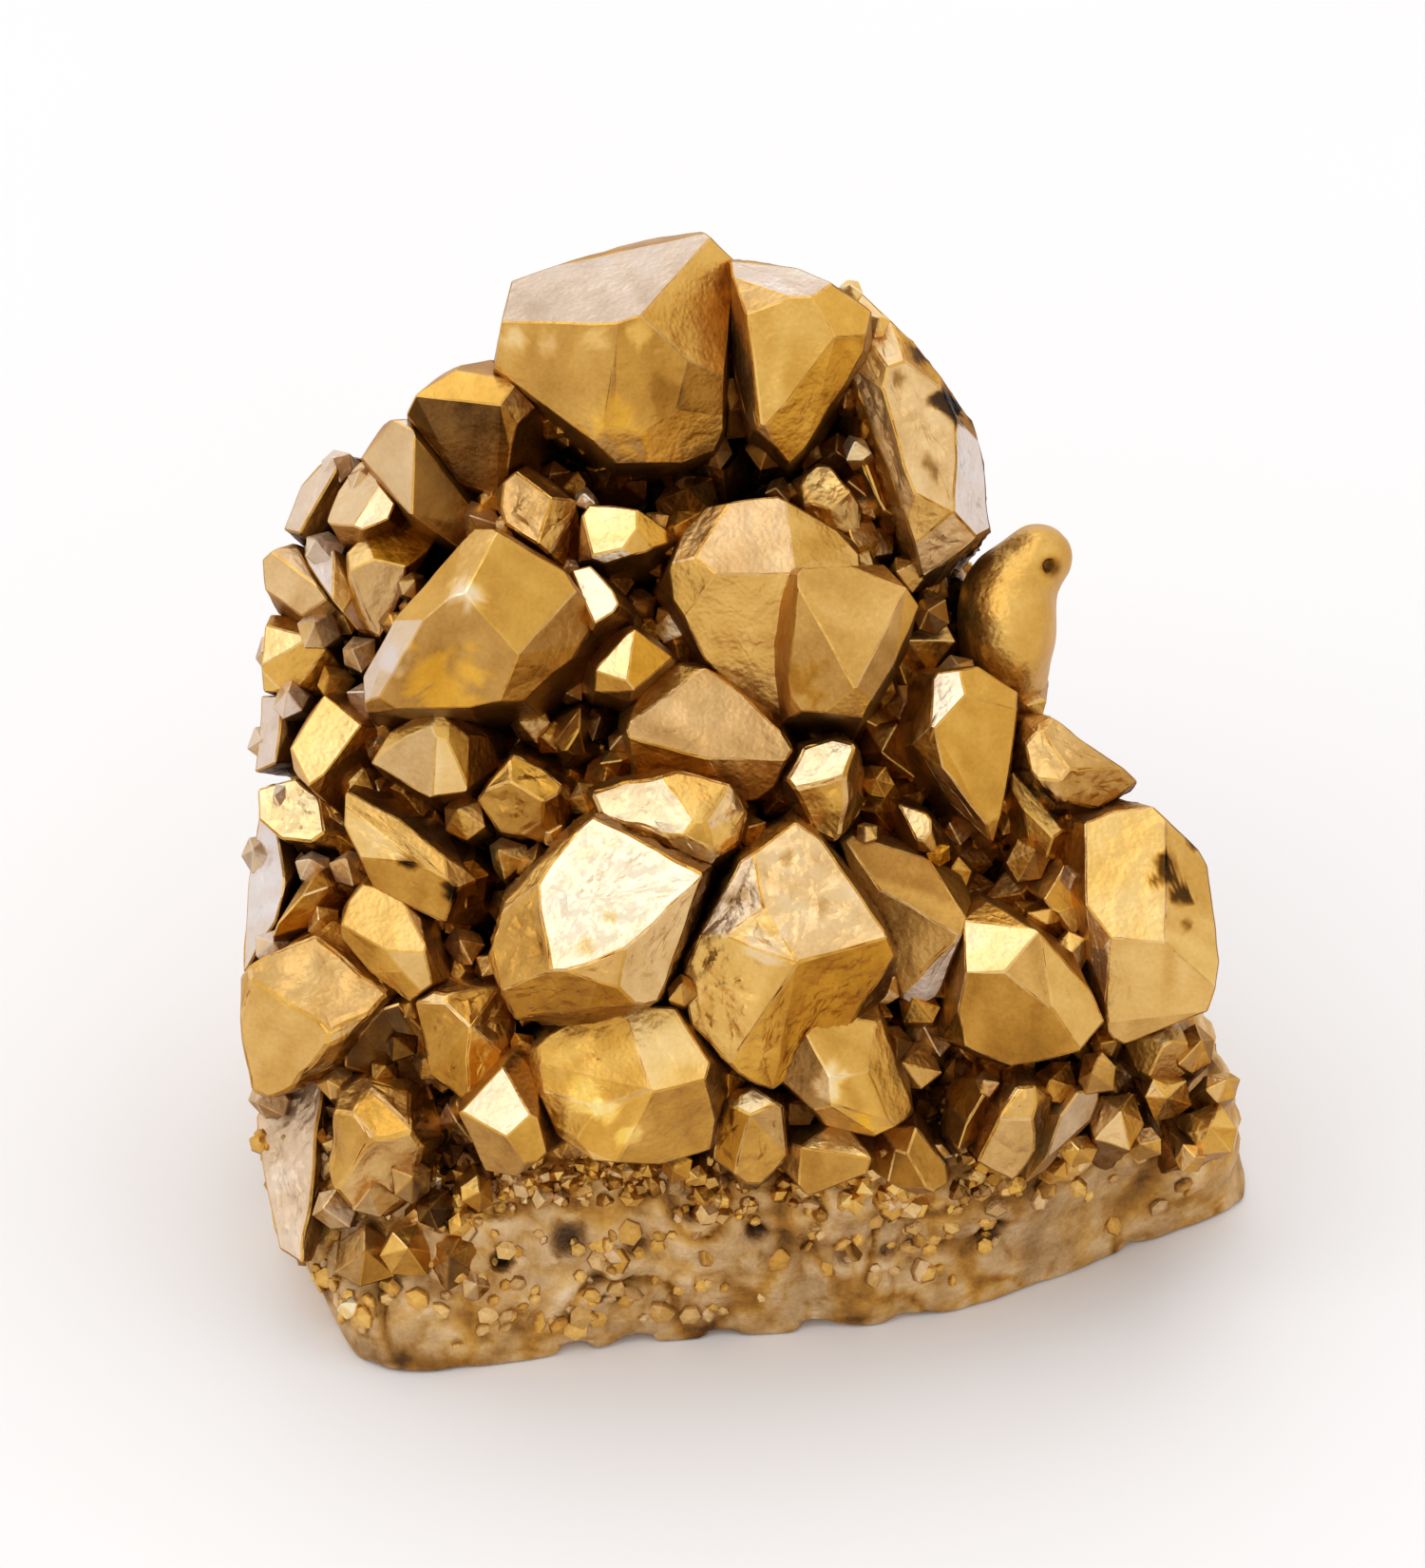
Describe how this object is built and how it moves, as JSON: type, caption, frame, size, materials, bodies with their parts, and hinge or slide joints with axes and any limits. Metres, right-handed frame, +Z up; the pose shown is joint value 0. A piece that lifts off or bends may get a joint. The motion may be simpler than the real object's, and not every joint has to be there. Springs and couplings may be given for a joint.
{
  "type": "gold-coated quartz cluster",
  "caption": "Mineral specimen: a lump of granular rock with a leaning face covered in six-sided quartz points under a bright gold metal coat.",
  "frame": {"origin": "middle of the cluster's box, on the surface it rests on", "axes": "+Z up, +X across the width with the crystal face towards -Y, +Y back through the rock"},
  "size_m": [0.0906, 0.0652, 0.0904],
  "materials": {
    "rock_grain": "rough sugary quartz matrix with a thin satin gold-brown coat",
    "gold_coat": "quartz under a bright mirror-like gold metal coat",
    "amber_coat": "quartz under a deep amber-gold metal coat",
    "pale_coat": "quartz under a thin pale beige to lilac-grey metal coat",
    "dark_coat": "quartz under a dark brown-gold metal coat"
  },
  "bodies": {
    "root": {"amber_wedge_crystal": "amber_coat", "banded_crystal": "gold_coat", "bar_crystal": "gold_coat", "blade_crystal": "gold_coat", "bright_nub_crystal": "gold_coat", "brown_wedge_crystal": "amber_coat", "cap_nub_crystal": "gold_coat", "centre_back_crystal": "gold_coat", "centre_crystal": "gold_coat", "cross_nub_crystal": "dark_coat", "flank_crystal": "pale_coat", "flat_gold_crystal": "gold_coat", "frosted_crystal": "gold_coat", "grained_crystal": "gold_coat", "great_left_crystal": "amber_coat", "great_right_crystal": "gold_coat", "grey_blade_crystal": "pale_coat", "heart_back_crystal": "gold_coat", "heart_crystal": "gold_coat", "host_rock": "rock_grain", "inner_amber_crystal": "amber_coat", "kite_crystal": "gold_coat", "left_chip_crystal": "gold_coat", "left_pyramid_crystal": "gold_coat", "left_square_crystal": "gold_coat", "long_left_crystal": "gold_coat", "low_prism_crystal": "gold_coat", "middle_crystal": "gold_coat", "nugget_crystal": "gold_coat", "ridge_amber_crystal": "amber_coat", "ridge_right_crystal": "pale_coat", "right_block_crystal": "gold_coat", "right_tall_crystal": "amber_coat", "right_under_crystal": "gold_coat", "rim_crystal": "pale_coat", "rim_low_crystal": "pale_coat", "rim_middle_crystal": "gold_coat", "rim_pale_crystal": "pale_coat", "rim_top_crystal": "pale_coat", "rimmed_crystal": "amber_coat", "rough_amber_crystal": "amber_coat", "rough_brown_crystal": "amber_coat", "rounded_growth": "gold_coat", "shade_crystal": "dark_coat", "shoulder_band_crystal": "pale_coat", "shoulder_crystal": "amber_coat", "shoulder_upper_crystal": "dark_coat", "shoulder_white_crystal": "gold_coat", "small_pyramid_crystal": "gold_coat", "snow_crystal": "gold_coat", "splinter_crystal": "gold_coat", "striped_nub_crystal": "gold_coat", "summit_crystal": "gold_coat", "summit_left_crystal": "amber_coat", "summit_right_crystal": "gold_coat", "swirl_crystal": "gold_coat", "valley_crystal": "pale_coat", "white_blade_crystal": "gold_coat", "white_cap_crystal": "gold_coat", "white_tip_crystal": "gold_coat"}
  },
  "joints": []
}
